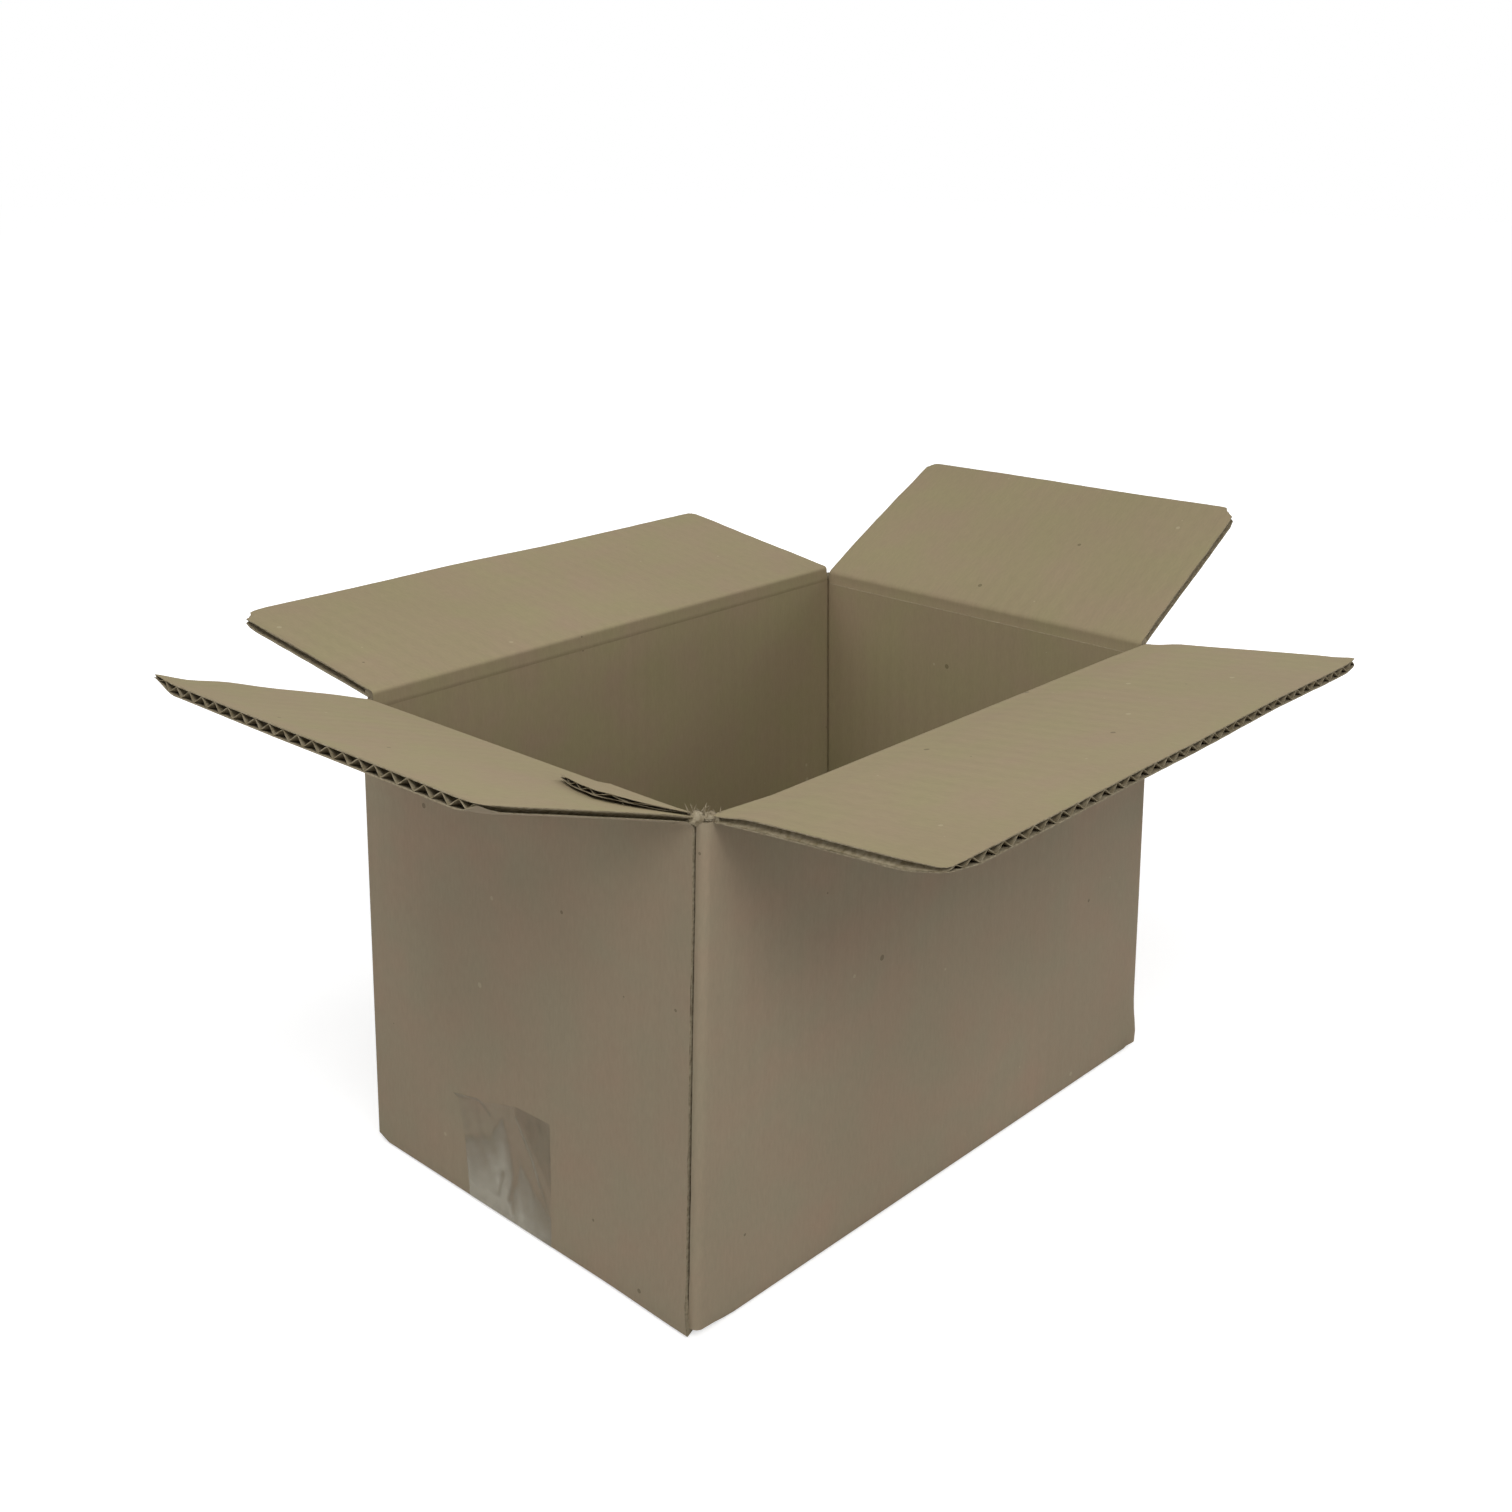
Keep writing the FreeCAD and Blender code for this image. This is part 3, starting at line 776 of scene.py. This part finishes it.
def plain_board(name, lengths, sides, low, place, mark):
    """A flat piece of the same board, liners and fluting, put in its place in the box."""
    over = paper(lengths, sides, low + board - liner, low + board)
    under = paper(lengths, sides, low, low + liner)
    skin = liners(name + "_liners", place, over, under, mark)
    run = np.array([lengths[0] + 0.2, (lengths[0] + lengths[-1]) / 2, lengths[-1] - 0.1])
    waves, wave_faces = flute_row(run, sides[0], sides[-1], low, low + board, 0.25)
    core = piece(name + "_fluting", place(waves), wave_faces, [fluting])
    for made in (skin, core):
        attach(made, "box")
        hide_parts("box_body")


for name, turn_to, span, half, low, reach in bottom_flaps:
    a = math.radians(turn_to)

    def place(points):
        """Flap points, measured in from the wall's outer face, laid on the box's bottom."""
        out = span - points[:, 0]
        x = out * math.cos(a) + points[:, 1] * math.sin(a)
        y = out * math.sin(a) - points[:, 1] * math.cos(a)
        return settled(np.column_stack([x, y, points[:, 2]]))

    def mark(points, layer):
        """The bottom flaps' own places on the flat sheet, away from the walls'."""
        return on_sheet(points[:, 1] + span * 3, -points[:, 0] - turn_to, layer)

    sides = np.linspace(-half, half, round(half / 4.0))
    plain_board(name, np.linspace(board, reach, 20), sides, low, place, mark)

# Glue tab. A strip left on the front wall, turned round the near corner and glued to the inside of the
# left wall, from the bottom almost to the fold.
tab_from = 49.4
tab_to = 86.3
tab_foot = 8.0
tab_top = 177.0


def place(points):
    """Tab points (up it, across it, in from the wall) on the left wall's inside."""
    swell = wall_swell(-points[:, 1] - seam_y, points[:, 0], half_width - points[:, 1])
    x = -half_length + board + 0.05 - swell + points[:, 2] * 0.87
    return settled(np.column_stack([x, -points[:, 1], points[:, 0]]))


def mark(points, layer):
    """The tab carries on from the front wall's end of the flat sheet."""
    return on_sheet(around[-1] + tab_to - points[:, 1], points[:, 0], layer)


sides = np.linspace(tab_from, tab_to, 9)
plain_board("glue_tab", np.linspace(tab_foot, tab_top, 12), sides, 0.0, place, mark)

# The tab's end, above the fold. It has split off the tab and lies on the left flap's inner face, crushed
# at its root, with three open flutes at its free edge and a torn side towards the corner.
end_root = -2.6
end_thick = 1.75
end_root_thick = 0.42
end_edge_sides = [45.5, 52.0, 60.0, 70.0, 73.0, 76.0, 79.0, 81.5, 84.0]
end_edge_reach = [21.5, 25.0, 28.0, 30.0, 28.0, 25.0, 21.0, 14.0, 1.0]
left = flaps["left"]


def place(points):
    """Points of the tab's end, with 0 to 1 from its root to its free edge, on the left flap."""
    t, w, n = points[:, 0], points[:, 1], points[:, 2]
    reach = np.interp(w, end_edge_sides, end_edge_reach)
    torn_side = step(w, 70.0, 72.0)
    frayed = ripple(w, n * 1.5, 2.2, 51) * (0.12 + 0.6 * torn_side) + ripple(w, n, 6.0, 52) * 0.25
    s = end_root + t * (reach + frayed - end_root)
    thick = end_root_thick + (end_thick - end_root_thick) * step(s, 2.0, 13.0)
    thick = thick * (1 - 0.4 * step(w, 71.0, 82.0)) * (0.6 + 0.4 * step(w, 46.0, 56.0))
    top = inner_face + 0.4 + 0.082 * np.maximum(s, 0) + 0.25 * ripple(s, w, 14.0, 53) * step(s, 0.0, 8.0)
    across = w + 0.5 * ripple(s, n, 7.0, 54) * step(np.abs(w - 64.5), 15.0, 19.0)
    return over_fold(np.column_stack([s, across, top - (board - n) / board * thick]), left)


def mark(points, layer):
    """The tab's end carries on from the tab on the flat sheet."""
    return on_sheet(around[-1] + tab_to - points[:, 1], fold_height + points[:, 0] * 20.0, layer)


lengths = np.concatenate([np.linspace(0.0, 0.9, 16), [0.95, 1.0]])
sides = np.linspace(end_edge_sides[0], end_edge_sides[-1], 54)
over = paper(lengths, sides, board - liner, board)
under = paper(lengths, sides, 0.0, liner)
end_skin = liners("glue_tab_end_liners", place, over, under, mark)
waves, wave_faces = flute_row(np.linspace(0.05, 0.99, 10), sides[0], sides[-1], 0.0, board, 0.6)
end_core = piece("glue_tab_end_fluting", place(waves), wave_faces, [fluting])
for made in (end_skin, end_core):
    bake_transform(made)
    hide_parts("glue_tab_end")

# Torn corners. Where two folds meet, the board has burst: a small crumpled lump of paper at each corner,
# and at the glued one a tuft of split fibres that stand up from it.
torn = pulp_paper("kraft_torn_fibres", "#7c7059", "#a59a83", 2.0)
lump_rings = 14
lump_sides = 22

sliver_tree, given = repeater("slivers_along_a_tear", {
    "Sliver": "Geometry", "Start": "Vector", "End": "Vector", "Count": "Int", "Spread": "Vector",
    "Lean": "Vector", "Seed": "Int", "Paper": "Material"})
line = node(sliver_tree, "GeometryNodeMeshLine", {"mode": "END_POINTS"},
            {"Count": given["Count"], "Start Location": given["Start"],
             "Offset": given["End"]})
less = node(sliver_tree, "ShaderNodeVectorMath", {"operation": "SCALE"},
            {0: given["Spread"], "Scale": -1.0})
shake = node(sliver_tree, "FunctionNodeRandomValue", {"data_type": "FLOAT_VECTOR"},
             {0: less.outputs[0], 1: given["Spread"], "Seed": given["Seed"]})
strewn = node(sliver_tree, "GeometryNodeSetPosition", None,
              {"Geometry": line.outputs[0], "Offset": shake.outputs[0]})
next_seed = node(sliver_tree, "ShaderNodeMath", {"operation": "ADD"}, {0: given["Seed"], 1: 1.0})
lean = node(sliver_tree, "FunctionNodeRandomValue", {"data_type": "FLOAT_VECTOR"},
            {0: (-0.9, -0.9, -3.1), 1: (0.9, 0.9, 3.1), "Seed": next_seed.outputs[0]})
lean = node(sliver_tree, "ShaderNodeVectorMath", {"operation": "ADD"},
            {0: lean.outputs[0], 1: given["Lean"]})
third_seed = node(sliver_tree, "ShaderNodeMath", {"operation": "ADD"}, {0: given["Seed"], 1: 2.0})
grow = node(sliver_tree, "FunctionNodeRandomValue", {"data_type": "FLOAT_VECTOR"},
            {0: (0.7, 0.7, 0.45), 1: (1.5, 1.0, 1.2), "Seed": third_seed.outputs[0]})
copies = node(sliver_tree, "GeometryNodeInstanceOnPoints", None,
              {"Points": strewn.outputs[0], "Instance": given["Sliver"], "Rotation": lean.outputs[0],
               "Scale": grow.outputs[0]})
real = node(sliver_tree, "GeometryNodeRealizeInstances", None, {0: copies.outputs[0]})
coloured = node(sliver_tree, "GeometryNodeSetMaterial", None,
                {"Geometry": real.outputs[0], "Material": given["Paper"]})
node(sliver_tree, "NodeGroupOutput", None, {0: coloured.outputs[0]})


def slivers(name, body, start, end, count, spread, lean, seed):
    """A tuft of torn slivers between two places, each a bent spike that tapers to nothing."""
    rings = [(0.0, 0.0, 0.34), (1.1, 0.1, 0.27), (2.3, 0.4, 0.16)]
    points = []
    for up, bend, radius in rings:
        for k in range(3):
            a = math.tau * k / 3
            points.append((radius * math.cos(a) + bend, radius * 0.6 * math.sin(a), up))
    points.append((0.9, 0.0, 3.4))
    faces = [(2, 1, 0)]
    for r in (0, 3):
        for k in range(3):
            faces.append((r + k, r + (k + 1) % 3, r + 3 + (k + 1) % 3, r + 3 + k))
    faces += [(6, 7, 9), (7, 8, 9), (8, 6, 9)]
    sliver = piece("one_sliver", points, faces, [torn])
    values = {"Start": [v * mm for v in start], "End": [v * mm for v in end], "Count": count,
              "Spread": [v * mm for v in spread], "Lean": lean, "Seed": seed, "Paper": torn}
    tuft_points, tuft_faces = repeated(sliver, sliver_tree, values)
    made = piece(name, settled(tuft_points), tuft_faces, [torn])
    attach(made, body)
    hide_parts("box_body" if body == "box" else body)


def lump(name, middle, size, seed):
    """A crumpled lump of paper: a ball pushed in and out in facets."""
    points = []
    for ring in range(1, lump_rings):
        polar = math.pi * ring / lump_rings
        for side in range(lump_sides):
            a = math.tau * side / lump_sides
            points.append((math.sin(polar) * math.cos(a), math.sin(polar) * math.sin(a), math.cos(polar)))
    points = np.array(points + [(0.0, 0.0, 1.0), (0.0, 0.0, -1.0)])
    x, y, z = points.T
    crumple = 1 + 0.26 * ripple(x * 3 + z, y * 3 - z * 2, 1.6, seed)
    crumple += 0.2 * ripple(x * 3 - z * 2, y * 3, 0.7, seed + 1)
    points = points * crumple[:, None] * np.array(size) + np.array(middle)
    faces = []
    for ring in range(lump_rings - 2):
        for side in range(lump_sides):
            here = ring * lump_sides + side
            after = ring * lump_sides + (side + 1) % lump_sides
            faces.append((here, here + lump_sides, after + lump_sides, after))
    top = (lump_rings - 1) * lump_sides
    last = (lump_rings - 2) * lump_sides
    for side in range(lump_sides):
        faces.append((top, side, (side + 1) % lump_sides))
        faces.append((top + 1, last + (side + 1) % lump_sides, last + side))
    made = piece(name, settled(points), faces, [torn])
    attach(made, "box")
    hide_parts("box_body")


lump("torn_corner_near", (-135.2, -85.6, 187.0), (3.1, 2.8, 2.2), 61)
lump("torn_corner_near_seam", (-136.8, -83.4, 186.4), (1.1, 2.4, 1.7), 65)
lump("torn_corner_near_shoulder", (-139.2, -80.2, 187.0), (3.4, 2.6, 1.2), 62)
lump("torn_corner_near_front", (-132.6, -88.4, 187.6), (2.6, 2.0, 1.3), 63)
far_corners = [("back_left", -1, 1, 1.0), ("back_right", 1, 1, 1.6), ("front_right", 1, -1, 0.6)]
for label, sx, sy, rise in far_corners:
    middle = (sx * 134.9, sy * 87.9, end_fold_height + rise)
    lump("torn_corner_" + label, middle, (2.0, 2.0, 1.7), 64 + sx + 3 * sy)
slivers("torn_corner_fibres", "box", (-137.8, -83.0, 188.0), (-133.4, -87.8, 188.2), 16, (0.9, 0.9, 0.4),
        (0.0, 0.0, 0.0), 71)
slivers("torn_shoulder_fibres", "box", (-141.6, -78.6, 187.2), (-137.6, -83.0, 187.8), 8, (0.6, 0.8, 0.4),
        (-0.5, 0.5, 0.0), 72)
slivers("torn_front_fibres", "box", (-133.8, -87.4, 187.4), (-129.5, -90.8, 186.8), 6, (0.8, 0.6, 0.4),
        (0.6, 0.4, 0.0), 73)
slivers("torn_tab_fibres", "left_flap", (-158.5, -80.5, 193.4), (-164.5, -73.5, 195.6), 6, (0.6, 0.8, 0.4),
        (0.0, 0.0, 0.0), 74)

# Packing tape. One strip of clear film on a layer of glue, under the bottom seam and up both end walls.
# Where the glue has wetted the board it is dark and clear, and where it hasn't, air makes it grey.
film_gap = 0.01
tape_right_rise = 50.0
tape_right_slant = 3.0
tape_columns = 62
left_rows = 58
left_edge = [(30.2, 0.0), (30.0, 3.2), (32.3, 26.4), (35.7, 39.7), (38.7, 40.9)]
right_edge = [(-16.8, 0.0), (-17.0, 2.0), (-16.3, 50.7)]
top_edge = [(-16.3, 50.7), (2.7, 49.8), (15.9, 45.8), (21.9, 43.9), (24.9, 44.2), (38.7, 40.9)]
air_edge = [(-18.0, 13.0), (-10.2, 18.1), (-2.5, 25.8), (0.5, 28.0), (3.0, 20.0), (6.0, 33.0), (10.0, 43.0),
            (12.0, 40.0), (17.8, 31.7), (32.3, 26.2), (40.0, 24.0)]
wetted_edge = [(-17.0, 22.0), (-15.2, 24.7), (-4.9, 38.4), (2.8, 46.1)]
pale_streaks = [
    ([(2.8, 45.6), (-0.7, 40.8), (-5.5, 34.5), (-10.3, 22.4)], 1.0, 0.5),
    ([(0.0, 41.0), (-8.3, 28.4), (-15.1, 15.1)], 0.9, 0.4),
    ([(38.7, 40.6), (24.9, 44.2), (21.9, 43.3), (17.5, 40.4)], 1.6, 0.45),
]
dark_streaks = [
    ([(1.8, 24.9), (3.4, 18.8), (6.5, 9.2)], 2.0, 0.5),
    ([(10.0, 19.5), (12.4, 9.2)], 1.6, 0.35),
    ([(4.6, 12.8), (4.4, 4.8)], 1.2, 0.35),
]


def along_edge(values, edge, read, give):
    """A place on a traced edge: give is the coordinate wanted where the other one has these values."""
    line = sorted(edge, key=lambda corner: corner[read])
    return np.interp(values, [corner[read] for corner in line], [corner[give] for corner in line])


def near_line(y, z, line, width):
    """1 on a bent line and 0 a width away from it."""
    nearest = np.full(np.shape(y), 1000.0)
    for (ya, za), (yb, zb) in zip(line, line[1:]):
        t = ((y - ya) * (yb - ya) + (z - za) * (zb - za)) / ((yb - ya) ** 2 + (zb - za) ** 2)
        t = np.clip(t, 0, 1)
        nearest = np.minimum(nearest, np.hypot(y - ya - t * (yb - ya), z - za - t * (zb - za)))
    return 1 - step(nearest, 0.0, width)


between_folds = np.abs(outer_plan[:, 1]) < half_width - fold_radius + 0.01
right_wall = (outer_plan[:, 0] > half_length - 0.01) & between_folds
across = np.linspace(0.0, 1.0, tape_columns)
rows_yz = []
for k in range(left_rows, -1, -1):
    top_y = right_edge[-1][0] + across * (left_edge[-1][0] - right_edge[-1][0])
    top = along_edge(top_y, top_edge, 0, 1)
    z = left_foot_radius + film + (top - left_foot_radius - film) * k / left_rows
    edge_right = along_edge(z, right_edge, 1, 0)
    y = edge_right + across * (along_edge(z, left_edge, 1, 0) - edge_right)
    rows_yz.append((-1, 90.0, y, z))
for k in range(foot_rows - 1, -1, -1):
    rows_yz.append((-1, 90.0 * k / foot_rows, rows_yz[left_rows][2], np.zeros(tape_columns)))
for x in (-90.0, -30.0, 30.0, 90.0):
    rows_yz.append((x, None, rows_yz[left_rows][2], np.zeros(tape_columns)))
for k in range(foot_rows):
    rows_yz.append((1, 90.0 * k / foot_rows, rows_yz[left_rows][2], np.zeros(tape_columns)))
right_rows = 14
for k in range(right_rows + 1):
    top = tape_right_rise - tape_right_slant * across
    rows_yz.append((1, 90.0, rows_yz[left_rows][2],
                    foot_radius + film + (top - foot_radius - film) * k / right_rows))

shells = []
air = []
wet = []
for lift in (film_gap, film):
    for end, angle, y, z in rows_yz:
        if angle is None:
            shells.append(np.column_stack([np.full_like(y, end), y, np.full_like(y, film - lift)]))
        elif angle < 90.0:
            a = math.radians(angle)
            bend = left_foot_radius if end < 0 else foot_radius
            x = half_length - bend + (bend + lift) * math.sin(a)
            up = film + bend - (bend + lift) * math.cos(a)
            shells.append(np.column_stack([np.full_like(y, end * x), y, np.full_like(y, up)]))
        else:
            if end < 0:
                along = y - seam_y
            else:
                along = np.interp(-y, -outer_plan[right_wall, 1], around[right_wall])
            x = half_length + wall_swell(along, z, half_width - np.abs(y)) + lift
            shells.append(np.column_stack([end * x, y, z]))
        bubbles = 0.12 * ripple(y, z, 6.0, 81) + 0.08 * ripple(y, z, 2.5, 82)
        below = along_edge(y, air_edge, 0, 1) - z
        misty = step(below, -1.5, 3.5) * (0.5 + 0.5 * step(below, 0.0, 26.0)) + bubbles
        for line, wide, amount in pale_streaks:
            misty = misty + amount * near_line(y, z, line, wide)
        for line, wide, amount in dark_streaks:
            misty = misty - amount * near_line(y, z, line, wide)
        air.append(np.clip(misty, 0.0, 1.0))
        above = z - along_edge(y, wetted_edge, 0, 1)
        wet.append(step(above, -1.0, 1.5) * (y < 2.8) * (angle == 90.0) * (end < 0))
points = np.concatenate(shells)
film_faces = sheet_faces(len(rows_yz), tape_columns)
faces = np.concatenate(film_faces)
smooth_count = len(faces) - len(film_faces[2])
wrinkle_size = 4.545


def packing_film(name):
    """Clear packing tape: thin glossy polypropylene film on clear glue. Its eye is a pale haze where air is
    under it, darker board where the glue has wetted the paper, and soft highlights on its wrinkles."""
    made = bpy.data.materials.new(name)
    tree = emptied(made)
    airy = node(tree, "ShaderNodeAttribute", {"attribute_name": "air"}).outputs["Fac"]
    wetted = node(tree, "ShaderNodeAttribute", {"attribute_name": "wet"}).outputs["Fac"]
    veil = node(tree, "ShaderNodeMapRange", None, {"Value": airy, "To Min": 0.02, "To Max": 0.33})
    veil_wet = node(tree, "ShaderNodeMath", {"operation": "MULTIPLY_ADD"},
                    {0: wetted, 1: 0.05, 2: veil.outputs[0]})
    tone = node(tree, "ShaderNodeMix", {"data_type": "RGBA"},
                {"Factor": airy, "A": linear("#6a6653"), "B": linear("#dcd8c8")})
    tone = node(tree, "ShaderNodeMix", {"data_type": "RGBA"},
                {"Factor": wetted, "A": tone.outputs["Result"], "B": linear("#4a3427")})
    place_on = node(tree, "ShaderNodeTexCoord").outputs["Object"]
    wrinkle = node(tree, "ShaderNodeTexNoise", None,
                   {"Vector": place_on, "Scale": 1 / (wrinkle_size * mm), "Detail": 2.0})
    bump = node(tree, "ShaderNodeBump", None,
                {"Height": wrinkle.outputs["Fac"], "Strength": 0.25, "Distance": 0.0004})
    glaze = node(tree, "ShaderNodeBsdfPrincipled", None,
                 {"Base Color": tone.outputs["Result"], "Alpha": veil_wet.outputs[0], "Roughness": 0.5,
                  "Specular IOR Level": 0.0})
    gloss = node(tree, "ShaderNodeBsdfGlossy", None, {"Roughness": 0.16, "Normal": bump.outputs[0]})
    angle_share = node(tree, "ShaderNodeFresnel", None, {"IOR": 1.22, "Normal": bump.outputs[0]})
    behind = node(tree, "ShaderNodeNewGeometry").outputs["Backfacing"]
    front = node(tree, "ShaderNodeMath", {"operation": "SUBTRACT"}, {0: 1.0, 1: behind})
    share = node(tree, "ShaderNodeMath", {"operation": "MULTIPLY"},
                 {0: angle_share.outputs[0], 1: front.outputs[0]})
    both = node(tree, "ShaderNodeMixShader", None,
                {0: share.outputs[0], 1: glaze.outputs[0], 2: gloss.outputs[0]})
    node(tree, "ShaderNodeOutputMaterial", None, {"Surface": both.outputs[0]})
    return made


tape_film = packing_film("clear_packing_tape_polypropylene_film")
tape = piece("packing_tape_film", settled(points), faces, [tape_film])
for label, values in (("air", air), ("wet", wet)):
    attribute = tape.data.attributes.new(label, "FLOAT", "POINT")
    attribute.data.foreach_set("value", np.concatenate(values).astype(float))
tape.data.polygons.foreach_set("use_smooth", [k < smooth_count for k in range(len(faces))])
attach(tape, "box")
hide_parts("packing_tape")
